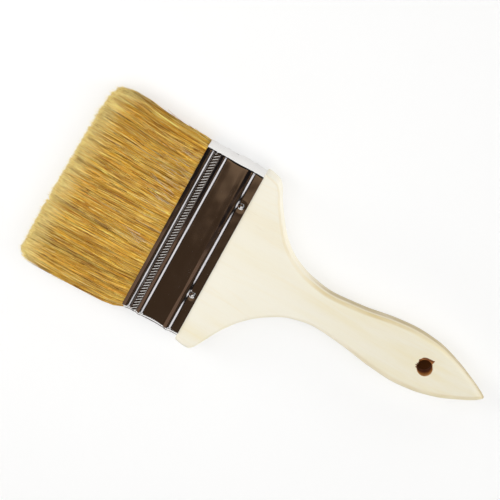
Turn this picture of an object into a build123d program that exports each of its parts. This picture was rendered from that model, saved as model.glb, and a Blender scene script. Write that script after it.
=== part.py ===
"""Flat natural-bristle paint brush, lying on its back.

Frame: +X points from the bristles to the handle's tip, +Y across the width, +Z up through
the thickness. The origin is under the middle of the brush, on the surface it lies on.
All dimensions are in millimetres.
"""
import os
from math import radians, tan

from build123d import *

# ---- lengths along the brush ----
bristle_free = 61.5
ferrule_length = 33.4
handle_reach = 157.1
overall_length = bristle_free + ferrule_length + handle_reach
tip_x = -overall_length / 2
mouth_x = tip_x + bristle_free
heel_x = mouth_x + ferrule_length
handle_tip_x = heel_x + handle_reach

# ---- ferrule: a tinplate sleeve with three raised beads ----
ferrule_width = 100.0
ferrule_thickness = 15.6
ferrule_corner = 1.8
sheet = 0.4
bead_rise = 0.7
# each bead: where its middle is, from the mouth, and how wide it is
beads = [(2.6, 4.0), (10.0, 3.4), (26.2, 4.2)]
knurl_centre = 6.4
knurl_width = 2.9
knurl_rise = 0.25
mid_z = ferrule_thickness / 2 + bead_rise
bore_width = ferrule_width - 2 * sheet
bore_thickness = ferrule_thickness - 2 * sheet

# ---- handle: one board, planed thinner from the ferrule to the grip ----
tenon_depth = 12.5
tenon_play = 0.05
heel_thickness = 14.0
grip_thickness = 11.0
taper_length = 62.0
heel_slope = 0.045
edge_round = 1.0
hang_hole_radius = 4.25
hang_hole_from_heel = 122.5
shoulder_round = 3.0
# the outline beyond the heel: distance from the heel, upper edge, lower edge
shoulder_start = (0.0, 51.3, 52.2)
shoulder_corner = (9.6, 50.6, 53.6)
flank_start = (13.4, 41.6, 46.2)
edge_stations = [
    (24.0, 26.8, 29.2),
    (36.0, 16.3, 18.4),
    (48.0, 11.9, 12.3),
    (62.0, 9.9, 9.9),
    (82.0, 12.0, 12.0),
    (108.0, 15.3, 15.3),
    (132.0, 12.1, 12.2),
    (149.0, 4.8, 4.9),
]
tip_half_width = 1.2

# ---- nails ----
nail_from_heel = 2.9
nail_places = {"left": 29.5, "right": -26.0}
nail_head_radius = 1.9
nail_head_rise = 0.6
nail_shank_radius = 0.8
nail_depth = 6.0
nail_point = 1.6
nail_point_radius = 0.12

# ---- bristle bundle ----
hinge_x = mouth_x
flex_limit_deg = 25.0
tuft_base_radius = 6.0
tuft_base_width = 98.2
tuft_neck_spare = 2.0
tuft_neck = tuft_base_radius * tan(radians(flex_limit_deg)) + tuft_neck_spare
tuft_full_width = 107.0
tuft_full_from_mouth = 34.0
tuft_belly_half = 7.9
tuft_tip_half = 7.0
tuft_tip_corner = 5.0
# how fast the outline widens and the thickness grows past the neck, and thins at the tips
tuft_fan_slope = 0.45
tuft_swell_slope = 0.12
tuft_taper_slope = 0.05
root_start = 3.0
root_end = 16.0
root_socket_radius = 7.4
root_half_thickness = 6.7
root_width = 96.0
plug_start = 9.0
plug_thickness = 3.0
plug_width = 90.0
plug_play = 0.1
resin_start = 8.5
resin_gap = 0.5
resin_end = ferrule_length - tenon_depth - resin_gap


def rounded_bar(width, thickness, corner, start_x, length):
    """A straight bar along X with a rounded rectangular section, centred on the brush."""
    section = RectangleRounded(width, thickness, corner)
    plane = Plane(origin=(start_x, 0, mid_z), x_dir=(0, 1, 0), z_dir=(1, 0, 0))
    return extrude(plane * section, length)


def block(start_x, end_x, width, low_z, high_z):
    """A plain block centred across the width."""
    size = (end_x - start_x, width, high_z - low_z)
    centre = ((start_x + end_x) / 2, 0, (low_z + high_z) / 2)
    return Pos(*centre) * Box(*size)


def sheet_line(offset):
    """One surface of the sheet in section: x along the sleeve, y outward, with its beads."""
    edges = []
    x = 0.0
    for middle, width in beads[:1] + [(knurl_centre, knurl_width)] + beads[1:]:
        rise = knurl_rise if middle == knurl_centre else bead_rise
        start, end = middle - width / 2, middle + width / 2
        edges.append(Line((x, offset), (start, offset)))
        edges.append(ThreePointArc((start, offset), (middle, offset + rise), (end, offset)))
        x = end
    edges.append(Line((x, offset), (ferrule_length, offset)))
    return edges


def sheet_section():
    """The sheet's whole section, from its outer surface to its inner one."""
    outer = sheet_line(0.0)
    inner = sheet_line(-sheet)
    closing = [Line((x, 0), (x, -sheet)) for x in (0.0, ferrule_length)]
    return make_face(outer + inner + closing)


def make_ferrule():
    """Four flat walls and four quarter-turn corners, all with the same section."""
    section = sheet_section()
    middle = Axis((mouth_x, 0, mid_z), (1, 0, 0))
    half_y, half_z = ferrule_width / 2, ferrule_thickness / 2
    straight_y, straight_z = half_y - ferrule_corner, half_z - ferrule_corner
    upright = Plane(origin=(mouth_x, 0, mid_z), x_dir=(1, 0, 0), z_dir=(0, -1, 0))
    flat = Plane(origin=(mouth_x, 0, mid_z), x_dir=(1, 0, 0), z_dir=(0, 0, 1))
    sleeve = None
    for sign in (1, -1):
        top = upright.offset(-straight_y) * (Pos(0, half_z) * section)
        wall = extrude(top, 2 * straight_y, dir=(0, -1, 0))
        side = flat.offset(-straight_z) * (Pos(0, half_y) * section)
        edge = extrude(side, 2 * straight_z, dir=(0, 0, 1))
        turn = Axis((mouth_x, straight_y, mid_z + straight_z), (1, 0, 0))
        bend = revolve(top, turn, -90)
        pieces = [wall, edge, bend, mirror(bend, Plane.XZ)]
        if sign < 0:
            pieces = [piece.rotate(middle, 180) for piece in pieces]
        for piece in pieces:
            sleeve = piece if sleeve is None else sleeve + piece
    for drill in nail_drills():
        sleeve -= drill
    return sleeve


def make_shank(radius, depth, point):
    """A round shank below z = 0 that ends in a cone."""
    straight = depth - point
    shaft = Pos(0, 0, -straight / 2) * Cylinder(radius, straight)
    tip = Pos(0, 0, -straight - point / 2) * Cone(nail_point_radius, radius, point)
    return shaft + tip


def put_nail(solid, y, side):
    """Moves what stands at the origin to a nail's place: side 1 in front, -1 at the back."""
    turned = solid if side > 0 else solid.rotate(Axis.X, 180)
    return Pos(heel_x - nail_from_heel, y, mid_z + side * ferrule_thickness / 2) * turned


def make_nail(y, side):
    """A small nail with a low domed head that sits on the sheet."""
    ball_radius = (nail_head_radius**2 + nail_head_rise**2) / (2 * nail_head_rise)
    ball = Pos(0, 0, nail_head_rise - ball_radius) * Sphere(ball_radius)
    above = Box(3 * nail_head_radius, 3 * nail_head_radius, 2 * nail_head_rise)
    head = ball & (Pos(0, 0, nail_head_rise) * above)
    return put_nail(head + make_shank(nail_shank_radius, nail_depth, nail_point), y, side)


def nail_drills():
    """The holes that the nails' shanks fill in the sheet and in the wood."""
    shank = make_shank(nail_shank_radius, nail_depth, nail_point)
    return [put_nail(shank, y, side) for y in nail_places.values() for side in (1, -1)]


def handle_outline():
    """The board's outline seen from the front, from the heel round the tip and back."""
    def edge(index, sign):
        at_heel = (heel_x + shoulder_start[0], sign * shoulder_start[index])
        corner = (heel_x + shoulder_corner[0], sign * shoulder_corner[index])
        flank = (heel_x + flank_start[0], sign * flank_start[index])
        stations = [(heel_x + s[0], sign * s[index]) for s in edge_stations]
        tip = (handle_tip_x - tip_half_width, sign * tip_half_width)
        shoulder = FilletPolyline(at_heel, corner, flank, radius=shoulder_round)
        slope = (flank[0] - corner[0], flank[1] - corner[1])
        reach = (tip[0] - stations[-1][0], tip[1] - stations[-1][1])
        return [shoulder, Spline([flank, *stations, tip], tangents=[slope, reach])], at_heel, tip

    upper, upper_heel, upper_tip = edge(1, 1)
    lower, lower_heel, lower_tip = edge(2, -1)
    nose = ThreePointArc(upper_tip, (handle_tip_x, 0), lower_tip)
    heel = Line(upper_heel, lower_heel)
    return make_face([*upper, *lower, nose, heel])


def handle_side():
    """The board's section seen from its edge: thick at the heel, thinner at the grip."""
    half_heel, half_grip = heel_thickness / 2, grip_thickness / 2
    grip_x = heel_x + taper_length
    end_x = handle_tip_x + edge_round
    edges = []
    for sign in (1, -1):
        start = (heel_x, sign * half_heel)
        end = (grip_x, sign * half_grip)
        tangents = [(1, -sign * heel_slope), (1, 0)]
        edges.append(Spline([start, end], tangents=tangents))
        edges.append(Line(end, (end_x, sign * half_grip)))
    edges.append(Line((heel_x, half_heel), (heel_x, -half_heel)))
    edges.append(Line((end_x, half_grip), (end_x, -half_grip)))
    plane = Plane(origin=(0, 0, mid_z), x_dir=(1, 0, 0), z_dir=(0, -1, 0))
    return plane * make_face(edges)


def long_rims(board):
    """The edges round the board's front and back, without its heel and the lines across it."""
    broad = [face for face in board.faces() if abs(face.normal_at().Z) > 0.9]
    rims = ShapeList(edge for face in broad for edge in face.edges())
    rims = rims.filter_by(lambda edge: edge.bounding_box().size.X > 0.5)
    kept = []
    for edge in rims:
        if not any(edge.is_same(other) for other in kept):
            kept.append(edge)
    return kept


def make_handle():
    """The shaped board, its eased edges, the hanging hole and the tenon inside the ferrule."""
    plan = Pos(0, 0, mid_z - heel_thickness) * handle_outline()
    board = extrude(plan, 2 * heel_thickness)
    board &= extrude(handle_side(), ferrule_width, both=True)
    board = board.fillet(edge_round, long_rims(board))
    tenon_start = heel_x - tenon_depth
    tenon = rounded_bar(
        bore_width - 2 * tenon_play,
        bore_thickness - 2 * tenon_play,
        ferrule_corner - sheet,
        tenon_start,
        tenon_depth,
    )
    hole = Pos(heel_x + hang_hole_from_heel, 0, mid_z)
    handle = board + tenon - hole * Cylinder(hang_hole_radius, 2 * heel_thickness)
    for drill in nail_drills():
        handle -= drill
    return handle


def hinge_cylinder(radius, length):
    """A cylinder about the line the bristles bend about, across the mouth."""
    return Pos(hinge_x, 0, mid_z) * Rot(90, 0, 0) * Cylinder(radius, length)


def make_roots(side):
    """The bristles' butts on one side of the plug, from the socket into the resin."""
    inner = plug_thickness / 2 + plug_play
    low, high = sorted((side * inner, side * root_half_thickness))
    butts = block(
        mouth_x + root_start, mouth_x + root_end, root_width, mid_z + low, mid_z + high
    )
    return butts - hinge_cylinder(root_socket_radius, ferrule_width)


def make_plug():
    """The wooden strip that spreads the bundle."""
    half = plug_thickness / 2
    return block(mouth_x + plug_start, mouth_x + root_end, plug_width, mid_z - half, mid_z + half)


def make_resin():
    """The resin that locks the butts and the plug together inside the ferrule."""
    resin = rounded_bar(
        bore_width - 2 * tenon_play,
        bore_thickness - 2 * tenon_play,
        ferrule_corner - sheet,
        mouth_x + resin_start,
        resin_end - resin_start,
    )
    return resin - make_roots(1) - make_roots(-1) - make_plug()


def tuft_outline():
    """The free bristles seen from the front: a narrow neck, then a slight fan."""
    neck_x = mouth_x - tuft_neck
    full_x = mouth_x - tuft_full_from_mouth
    half_neck, half_full = tuft_base_width / 2, tuft_full_width / 2
    inside_x = mouth_x + 2 * tuft_base_radius
    edges = []
    corner_mid = tuft_tip_corner * (1 - 2 ** -0.5)
    for sign in (1, -1):
        neck = (neck_x, sign * half_neck)
        full = (full_x, sign * half_full)
        end = (tip_x + tuft_tip_corner, sign * half_full)
        edges.append(Line((inside_x, sign * half_neck), neck))
        edges.append(Spline([neck, full], tangents=[(-1, sign * tuft_fan_slope), (-1, 0)]))
        edges.append(Line(full, end))
        edges.append(
            ThreePointArc(
                end,
                (tip_x + corner_mid, sign * (half_full - corner_mid)),
                (tip_x, sign * (half_full - tuft_tip_corner)),
            )
        )
    inner_half = half_full - tuft_tip_corner
    edges.append(Line((tip_x, inner_half), (tip_x, -inner_half)))
    edges.append(Line((inside_x, half_neck), (inside_x, -half_neck)))
    return make_face(edges)


def tuft_side():
    """The free bristles seen from the edge, with a round base about the bending line."""
    neck_x = mouth_x - tuft_neck
    edges = []
    for sign in (1, -1):
        base = (mouth_x, sign * tuft_base_radius)
        neck = (neck_x, sign * tuft_base_radius)
        belly = (mouth_x - tuft_full_from_mouth, sign * tuft_belly_half)
        edges.append(Line(base, neck))
        edges.append(
            Spline(
                [neck, belly, (tip_x, sign * tuft_tip_half)],
                tangents=[(-1, sign * tuft_swell_slope), (-1, -sign * tuft_taper_slope)],
            )
        )
    edges.append(Line((tip_x, tuft_tip_half), (tip_x, -tuft_tip_half)))
    edges.append(
        ThreePointArc(
            (mouth_x, tuft_base_radius),
            (mouth_x + tuft_base_radius, 0),
            (mouth_x, -tuft_base_radius),
        )
    )
    plane = Plane(origin=(0, 0, mid_z), x_dir=(1, 0, 0), z_dir=(0, -1, 0))
    return plane * make_face(edges)


def make_tuft():
    """The whole free tuft as one soft solid."""
    plan = extrude(Pos(0, 0, mid_z) * tuft_outline(), ferrule_thickness, both=True)
    return plan & extrude(tuft_side(), ferrule_width, both=True)


def build_all():
    parts = {
        "handle": make_handle(),
        "ferrule": make_ferrule(),
        "resin_set": make_resin(),
        "spacer_plug": make_plug(),
        "bristle_roots_front": make_roots(1),
        "bristle_roots_back": make_roots(-1),
        "bristle_tuft": make_tuft(),
    }
    for place, y in nail_places.items():
        parts[f"nail_front_{place}"] = make_nail(y, 1)
        parts[f"nail_back_{place}"] = make_nail(y, -1)
    return parts


os.makedirs("parts", exist_ok=True)
for name, solid in build_all().items():
    export_step(solid, f"parts/{name}.step")
    print(name, round(solid.volume, 1), solid.is_valid)
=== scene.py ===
from math import cos, pi, radians, sin, tau

import bpy
import numpy as np
from mathutils import Matrix, Vector


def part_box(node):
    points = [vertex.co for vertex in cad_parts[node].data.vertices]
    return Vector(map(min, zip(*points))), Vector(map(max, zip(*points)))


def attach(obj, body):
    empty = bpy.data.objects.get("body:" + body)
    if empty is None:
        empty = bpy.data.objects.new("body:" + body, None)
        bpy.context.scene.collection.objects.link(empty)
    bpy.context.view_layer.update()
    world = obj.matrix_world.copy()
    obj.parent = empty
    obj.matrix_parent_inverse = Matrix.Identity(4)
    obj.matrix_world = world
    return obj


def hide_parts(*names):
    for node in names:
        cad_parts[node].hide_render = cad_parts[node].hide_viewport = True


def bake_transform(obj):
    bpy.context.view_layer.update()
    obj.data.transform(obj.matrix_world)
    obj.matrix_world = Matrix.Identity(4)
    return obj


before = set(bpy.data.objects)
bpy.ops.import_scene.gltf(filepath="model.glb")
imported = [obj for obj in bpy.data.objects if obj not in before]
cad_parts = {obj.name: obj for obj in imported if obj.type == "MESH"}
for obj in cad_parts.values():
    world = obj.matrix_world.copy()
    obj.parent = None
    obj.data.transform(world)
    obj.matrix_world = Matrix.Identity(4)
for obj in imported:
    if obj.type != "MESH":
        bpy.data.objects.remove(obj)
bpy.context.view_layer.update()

# The looks of a flat natural-bristle paint brush. Shapes are worked out in millimetres, in
# the frame's own axes: +X towards the handle's tip, +Y across the width, +Z up.
MM = 0.001

ferrule_low, ferrule_high = (np.array(corner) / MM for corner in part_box("ferrule"))
_, handle_high = (np.array(corner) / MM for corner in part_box("handle"))
tuft_low, _ = (np.array(corner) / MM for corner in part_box("bristle_tuft"))
nail_boxes = {
    name: [np.array(corner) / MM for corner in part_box(name)]
    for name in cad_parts
    if name.startswith("nail_")
}
mouth_x, heel_x = ferrule_low[0], ferrule_high[0]
handle_tip_x, bristle_tip_x = handle_high[0], tuft_low[0]
mid_z = (ferrule_low[2] + ferrule_high[2]) / 2
# how high the CAD's beads stand, and the sheet's thickness
bead_rise, sheet = 0.7, 0.4
ferrule_half_y = (ferrule_high[1] - ferrule_low[1]) / 2 - bead_rise
ferrule_half_z = (ferrule_high[2] - ferrule_low[2]) / 2 - bead_rise
ferrule_length = heel_x - mouth_x


# ---------------- shape helpers
def smoothstep(low, high, value):
    """0 below low, 1 above high and a smooth rise between them."""
    t = np.clip((np.asarray(value, float) - low) / (high - low), 0, 1)
    return t * t * (3 - 2 * t)


def curve_through(knots, x):
    """A smooth line through knots of (x, value), with no overshoot between them."""
    kx, ky = np.array(knots, float).T
    step = np.diff(kx)
    rate = np.diff(ky) / step
    slope = np.zeros_like(kx)
    slope[0], slope[-1] = rate[0], rate[-1]
    same_way = rate[:-1] * rate[1:] > 0
    weight_a, weight_b = 2 * step[1:] + step[:-1], step[1:] + 2 * step[:-1]
    safe = np.where(same_way, rate[:-1], 1), np.where(same_way, rate[1:], 1)
    inner = (weight_a + weight_b) / (weight_a / safe[0] + weight_b / safe[1])
    slope[1:-1] = np.where(same_way, inner, 0)
    i = np.clip(np.searchsorted(kx, x) - 1, 0, len(step) - 1)
    t = np.clip((x - kx[i]) / step[i], 0, 1)
    start = (1 + 2 * t) * (1 - t) ** 2 * ky[i] + t * (1 - t) ** 2 * step[i] * slope[i]
    end = t * t * (3 - 2 * t) * ky[i + 1] + t * t * (t - 1) * step[i] * slope[i + 1]
    return start + end


def wobble(points, size, seed, waves=14):
    """A smooth random field, about -1 to 1, with features of the given size in mm."""
    random = np.random.default_rng(seed)
    direction = random.normal(size=(waves, points.shape[-1]))
    phase = random.uniform(0, tau, waves)
    return np.sin(points @ (direction * (2 / np.array(size))).T + phase).sum(-1) / waves**0.5


def ring_quads(rings, around):
    """The quads between rings of points that close on themselves."""
    row = np.arange(rings - 1)[:, None] * around
    here = np.arange(around)[None, :]
    following = (here + 1) % around
    corners = [row + here, row + following, row + around + following, row + around + here]
    return np.stack(corners, -1).reshape(-1, 4)


def closed_tube(rings, around):
    """The quads of a tube of rings, and one polygon over each of its ends."""
    here = np.arange(around)[None]
    return [ring_quads(rings, around), here[:, ::-1], (rings - 1) * around + here]


def build_mesh(name, points, polygons):
    """A mesh from points in mm and arrays of polygons, one array per number of corners."""
    mesh = bpy.data.meshes.new(name)
    mesh.vertices.add(len(points))
    mesh.vertices.foreach_set("co", (np.asarray(points) * MM).astype(np.float32).ravel())
    corners = np.concatenate([p.ravel() for p in polygons]).astype(np.int32)
    counts = np.concatenate([np.full(len(p), p.shape[1]) for p in polygons])
    mesh.loops.add(len(corners))
    mesh.loops.foreach_set("vertex_index", corners)
    mesh.polygons.add(len(counts))
    starts = np.concatenate([[0], np.cumsum(counts)[:-1]]).astype(np.int32)
    mesh.polygons.foreach_set("loop_start", starts)
    mesh.update(calc_edges=True)
    mesh.validate()
    mesh.shade_smooth()
    return mesh


def rings_along(x, rings):
    """Rings of (y, z) points, with z from the middle of the height, each at its own x."""
    x = np.broadcast_to(x[:, None, None], rings.shape[:2] + (1,))
    return np.concatenate([x, rings + (0, mid_z)], -1)


def flat_mesh(name, half_x, half_y):
    """A rectangle of the given half sizes in metres."""
    mesh = bpy.data.meshes.new(name)
    corners = [(-half_x, -half_y, 0), (half_x, -half_y, 0), (half_x, half_y, 0), (-half_x, half_y, 0)]
    mesh.from_pydata(corners, [], [(0, 1, 2, 3)])
    return mesh


def new_object(name, data, material=None):
    """An object in the scene that shows the data, which may be a mesh, a light or a camera."""
    piece = bpy.data.objects.new(name, data)
    bpy.context.scene.collection.objects.link(piece)
    if material is not None:
        data.materials.append(material)
    return piece


def vertex_vectors(mesh, key):
    """The place ("co") or normal ("normal") of every vertex."""
    values = np.empty(len(mesh.vertices) * 3, np.float32)
    mesh.vertices.foreach_get(key, values)
    return values.reshape(-1, 3)


def point_attribute(mesh, name, values, kind="FLOAT"):
    """Stores one number or colour per vertex for a material to read."""
    attribute = mesh.attributes.new(name, kind, "POINT")
    key = "color" if kind == "FLOAT_COLOR" else "value"
    attribute.data.foreach_set(key, np.asarray(values, np.float32).ravel())


# ---------------- material helpers
class Shader:
    """A material's node tree with a Principled surface, built by short calls."""

    def __init__(self, name, **surface):
        self.material = bpy.data.materials.new(name)
        self.material.use_nodes = True
        self.tree = self.material.node_tree
        self.surface = self.tree.nodes["Principled BSDF"]
        self.finish(**surface)

    def set(self, node, key, value):
        """Sets one input of a node, or links it where the value is another node's output."""
        socket = node.inputs[key]
        if isinstance(value, bpy.types.NodeSocket):
            self.tree.links.new(value, socket)
        elif isinstance(value, (tuple, list)) and len(value) == 3 and socket.type == "RGBA":
            socket.default_value = (*value, 1)
        else:
            socket.default_value = value

    def node(self, kind, settings=None, **inputs):
        """A node with its settings and inputs, where i0, i1 and so on name inputs by number."""
        made = self.tree.nodes.new("ShaderNode" + kind)
        for key, value in (settings or {}).items():
            setattr(made, key, value)
        for key, value in inputs.items():
            place = int(key[1:]) if key[0] == "i" and key[1:].isdigit() else key
            self.set(made, place, value)
        return made

    def coords(self, scale=(1, 1, 1)):
        """The object's own coordinates, times scale."""
        source = self.node("TexCoord").outputs["Object"]
        return self.node("Mapping", Vector=source, Scale=scale).outputs[0]

    def noise(self, scale, detail=3.0, rough=0.55, warp=0.0, vector=None):
        """Noise from 0 to 1 whose features are about 1 / scale long on each axis, in metres."""
        stretch = scale if isinstance(scale, tuple) else (scale,) * 3
        at = vector if vector is not None else self.coords(stretch)
        made = self.node(
            "TexNoise", Vector=at, Scale=1.0, Detail=detail, Roughness=rough, Distortion=warp
        )
        return made.outputs["Fac"]

    def math(self, operation, a, b):
        return self.node("Math", {"operation": operation}, i0=a, i1=b).outputs[0]

    def times(self, a, b):
        return self.math("MULTIPLY", a, b)

    def ramp(self, value, *stops):
        """A colour ramp through (position, colour) stops."""
        made = self.node("ValToRGB", i0=value)
        elements = made.color_ramp.elements
        while len(elements) < len(stops):
            elements.new(0.5)
        for element, (position, colour) in zip(elements, stops):
            element.position, element.color = position, (*colour, 1)
        return made.outputs[0]

    def span(self, value, low, high, to_low=0.0, to_high=1.0):
        """Carries low..high to to_low..to_high smoothly."""
        made = self.node("MapRange", {"interpolation_type": "SMOOTHSTEP"}, Value=value)
        for place, number in enumerate((low, high, to_low, to_high), 1):
            made.inputs[place].default_value = number
        return made.outputs[0]

    def mix(self, amount, a, b):
        made = self.node("Mix", {"data_type": "RGBA"})
        for place, value in ((0, amount), (6, a), (7, b)):
            self.set(made, place, value)
        return made.outputs[2]

    def read(self, name, output="Fac"):
        return self.node("Attribute", {"attribute_name": name}).outputs[output]

    def bump(self, height, distance, strength=1.0, below=None):
        inputs = {"Height": height, "Distance": distance, "Strength": strength}
        if below is not None:
            inputs["Normal"] = below
        return self.node("Bump", **inputs).outputs[0]

    def finish(self, **sockets):
        """Sets or links the surface's own inputs, named in lower case with underscores."""
        for key, value in sockets.items():
            name = key.replace("_", " ").title().replace("Ior", "IOR")
            self.set(self.surface, name, value)
        return self.material


# ---------------- materials
def wood_material():
    """Bare sanded pale hardwood: straight grain, faint yellow streaks and tan edges, with painted shade
    on the side walls and down the hole.
    """
    s = Shader("pale_wood", roughness=0.62, specular_ior_level=0.35)
    warp = s.noise((9, 60, 60), 2)
    grain_at = s.node(
        "VectorMath", {"operation": "ADD"},
        i0=s.coords((16, 520, 520)),
        i1=s.node("CombineXYZ", Y=s.times(warp, 9.0)).outputs[0],
    ).outputs[0]
    grain = s.noise(1, 4, 0.6, vector=grain_at)
    broad = s.noise((7, 55, 55), 3, 0.5)
    colour = s.ramp(
        broad, (0.25, (0.86, 0.83, 0.725)), (0.55, (0.845, 0.805, 0.68)), (0.8, (0.825, 0.76, 0.59))
    )
    colour = s.mix(s.span(grain, 0.52, 0.72, 0, 0.25), colour, (0.83, 0.74, 0.53))
    streak = s.span(s.noise((22, 170, 170), 4), 0.3, 0.75, 0.15, 0.75)
    colour = s.mix(s.times(s.read("stain"), streak), colour, (0.81, 0.72, 0.46))
    fibres = s.noise((90, 3200, 3200), 2, 0.6)
    flecks = s.times(s.span(fibres, 0.62, 0.74), s.span(broad, 0.3, 0.7, 0.03, 0.20))
    colour = s.mix(flecks, colour, (0.60, 0.46, 0.27))
    patchy = s.span(s.noise((60, 220, 220), 4), 0.2, 0.8, 0.55, 1)
    colour = s.mix(s.times(s.read("edge"), patchy), colour, (0.68, 0.56, 0.31))
    # the side walls: a sawn look mixed with painted shade that darkens them
    sawn = s.span(s.noise((30, 700, 700), 3), 0.25, 0.7, 0.6, 1.0)
    colour = s.mix(s.times(s.read("side"), sawn), colour, (0.47, 0.37, 0.20))
    # real drill burn together with painted shade and light: darker deeper in the hole, lighter on the
    # wall's lit side
    burn_and_shade = s.read("burn_and_shade")
    char = s.ramp(
        s.times(burn_and_shade, s.span(s.noise(700, 3), 0.2, 0.8, 0.8, 1.1)),
        (0.0, (0.62, 0.42, 0.21)), (0.3, (0.62, 0.25, 0.058)), (0.7, (0.20, 0.060, 0.014)),
        (1.0, (0.15, 0.050, 0.015)),
    )
    colour = s.mix(s.span(burn_and_shade, 0.02, 0.12), colour, char)
    rough = s.span(grain, 0.2, 0.8, 0.52, 0.72)
    normal = s.bump(fibres, 0.00003, 0.35)
    normal = s.bump(grain, 0.00008, 0.4, below=normal)
    return s.finish(base_color=colour, roughness=rough, normal=normal)


def tinplate_material():
    """Bright tin-plated steel with faint rolling lines, smudges and fine scratches."""
    s = Shader("tinplate", metallic=1.0)
    rolled = s.noise((1800, 60, 60), 3, 0.6)
    smudge = s.noise((70, 45, 60), 5, 0.6, 0.4)
    scratch = s.span(s.noise((400, 2600, 900), 2, 0.5, 1.6), 0.66, 0.74)
    colour = s.ramp(smudge, (0.3, (0.80, 0.785, 0.765)), (0.7, (0.87, 0.86, 0.845)))
    # darker and rougher in the knurl's sunk grooves
    colour = s.mix(s.times(s.read("groove_darkening"), 0.8), colour, (0.33, 0.27, 0.21))
    rough = s.math("ADD", s.span(smudge, 0.25, 0.8, 0.07, 0.17), s.times(scratch, 0.12))
    rough = s.math("ADD", rough, s.times(s.read("groove_darkening"), 0.18))
    normal = s.bump(rolled, 0.000004, 0.5)
    normal = s.bump(scratch, 0.000006, 0.3, below=normal)
    return s.finish(base_color=colour, roughness=rough, normal=normal)


def nail_material():
    """Bright steel nail, slightly duller than the sheet and scuffed by the hammer."""
    s = Shader("nail_steel", metallic=1.0)
    scuff = s.noise(900, 4, 0.6)
    colour = s.ramp(scuff, (0.3, (0.76, 0.74, 0.71)), (0.7, (0.92, 0.91, 0.90)))
    rough = s.span(scuff, 0.3, 0.75, 0.08, 0.20)
    return s.finish(base_color=colour, roughness=rough, normal=s.bump(scuff, 0.00002, 0.4))


def bristle_material():
    """Golden hog bristle, with each strand's own colour and a soft lengthwise shine."""
    s = Shader("hog_bristle", specular_ior_level=0.22)
    along = s.noise((110, 900, 900), 2, 0.5)
    tint = s.read("tint", "Color")
    colour = s.mix(s.span(along, 0.35, 0.75, 0, 0.35), tint, (0.55, 0.30, 0.07))
    rough = s.span(along, 0.3, 0.7, 0.38, 0.55)
    return s.finish(base_color=colour, roughness=rough, normal=s.bump(along, 0.00003, 0.3))


def resin_material():
    """Amber epoxy with soaked butts showing through as specks."""
    s = Shader("amber_resin", roughness=0.4)
    specks = s.noise((300, 1500, 1500), 3)
    colour = s.ramp(specks, (0.35, (0.30, 0.17, 0.05)), (0.65, (0.55, 0.37, 0.14)))
    return s.finish(base_color=colour, normal=s.bump(specks, 0.0001, 0.5))


def plug_material():
    """Rough-sawn wood strip."""
    s = Shader("sawn_plug", roughness=0.8)
    saw = s.noise((60, 25, 900), 3)
    colour = s.ramp(saw, (0.3, (0.52, 0.38, 0.20)), (0.7, (0.70, 0.55, 0.34)))
    return s.finish(base_color=colour, normal=s.bump(saw, 0.0002, 0.6))


# ---------------- handle
# the outline past the heel: distance, half width on the +Y edge, half width on the -Y edge
HANDLE_OUTLINE = [
    (0.0, 50.9, 51.6), (1.2, 51.2, 52.4), (5.5, 50.4, 53.1), (8.2, 49.3, 53.2),
    (10.9, 46.3, 50.9), (14.1, 40.4, 45.0), (19.5, 32.3, 35.3), (26.7, 23.3, 26.1),
    (36.2, 16.1, 18.3), (48.0, 11.8, 12.3), (61.0, 9.9, 9.9), (78.0, 11.4, 11.4),
    (96.0, 14.3, 14.3), (110.0, 15.4, 15.4), (122.0, 14.5, 14.6), (134.0, 11.4, 12.1),
    (146.5, 6.3, 7.0), (153.5, 2.7, 3.3), (157.0, 0.5, 0.5),
]
# half thicknesses, and how far past the heel the grip's is reached
HEEL_HALF_Z, GRIP_HALF_Z, TIP_HALF_Z = 7.2, 5.5, 2.8
TAPER = 62.0
TENON_LENGTH = 12.4
HOLE_RADIUS = 4.25
HOLE_PAST_HEEL = 122.5
HOLE_X = heel_x + HOLE_PAST_HEEL
# how far towards the ferrule the hole runs for each mm down
HOLE_LEAN = 0.20


def handle_half_z(distance):
    """Half the board's thickness, at a distance past the heel."""
    reach = handle_tip_x - heel_x
    thin = HEEL_HALF_Z + (GRIP_HALF_Z - HEEL_HALF_Z) * smoothstep(-8, TAPER, distance)
    tip = (GRIP_HALF_Z - TIP_HALF_Z) * smoothstep(reach - 48, reach - 8, distance)
    nose = np.clip((distance - (reach - 2.5)) / 2.5, 0, 0.985)
    return (thin - tip) * np.sqrt(1 - nose**2)


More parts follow.
